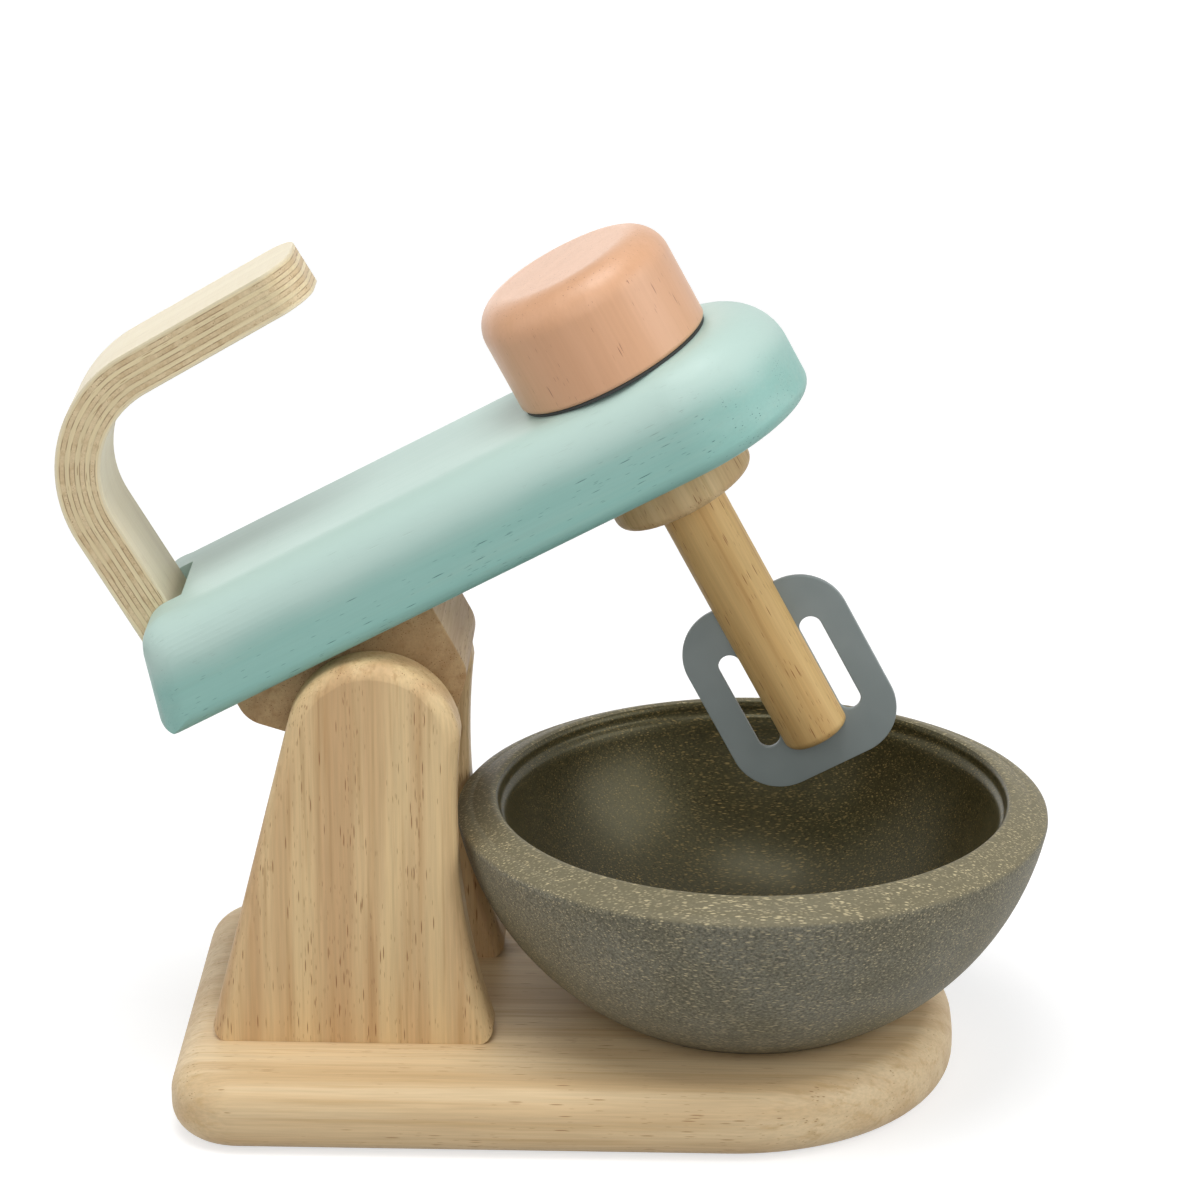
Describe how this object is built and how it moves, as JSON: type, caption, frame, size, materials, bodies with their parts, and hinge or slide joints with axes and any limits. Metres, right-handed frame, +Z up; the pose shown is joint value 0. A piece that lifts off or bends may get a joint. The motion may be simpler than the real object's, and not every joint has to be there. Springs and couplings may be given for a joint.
{
  "type": "toy stand mixer",
  "caption": "Wooden toy stand mixer with a tilting head, bent plywood handle, turning knob that spins a paddle beater, and a loose round bowl on a base board.",
  "frame": {"origin": "centre of the base board's underside", "axes": "+X towards the front of the mixer, where the bowl stands; +Y to its left; +Z up"},
  "size_m": [0.252, 0.153, 0.2254],
  "materials": {
    "natural_wood": "clear matt lacquer over pale hardwood with short brown flecks",
    "dowel_wood": "plain sanded dowel",
    "mint_wood": "thin mint green stain that lets the grain show, matt lacquer",
    "peach_wood": "thin peach stain that lets the pores show, matt lacquer",
    "plywood": "bent plywood, plies bare at the sides, matt lacquer",
    "fibre_board": "dark flecked wood fibre, turned, satin lacquer",
    "grey_sheet": "satin blue grey sheet",
    "nylon": "natural nylon, slightly translucent",
    "dark_fibre": "dull dark washer",
    "screw_steel": "zinc plated"
  },
  "bodies": {
    "stand": {"base_plate": "natural_wood", "right_post": "natural_wood", "left_post": "natural_wood", "post_screws": "screw_steel", "pivot_axle": "dowel_wood", "stop_dowel": "dowel_wood"},
    "rocker": {"rocker_block": "natural_wood", "rocker_peg": "nylon"},
    "head": {"head_body": "mint_wood", "head_dowel": "dowel_wood", "head_socket": "nylon", "handle": "plywood", "handle_screws": "screw_steel", "knob_washer": "dark_fibre", "hub_washer": "dark_fibre"},
    "turning": {"knob": "peach_wood", "spindle": "dowel_wood", "hub": "natural_wood", "hub_socket": "nylon"},
    "beater": {"beater_shaft": "natural_wood", "beater_peg": "nylon", "beater_paddle": "grey_sheet"},
    "bowl": {"bowl": "fibre_board"}
  },
  "joints": [
    {"name": "head_tilt", "type": "hinge", "parent": "stand", "child": "rocker", "pos_m": [-0.0483, 0, 0.1], "axis": [0, -1, 0], "range_deg": [-28, 47]},
    {"name": "head_lift", "type": "slide", "parent": "rocker", "child": "head", "axis": [-0.4695, 0, 0.8829], "range_m": [0, 0.04]},
    {"name": "knob_spin", "type": "hinge", "parent": "head", "child": "turning", "pos_m": [0.02458, 0, 0.16593], "axis": [-0.4695, 0, 0.8829], "continuous": true},
    {"name": "beater_pull", "type": "slide", "parent": "turning", "child": "beater", "axis": [0.4695, 0, -0.8829], "range_m": [0, 0.03]},
    {"name": "bowl_slide", "type": "slide", "parent": "stand", "child": "bowl", "axis": [1, 0, 0], "range_m": [0, 0.16]}
  ]
}
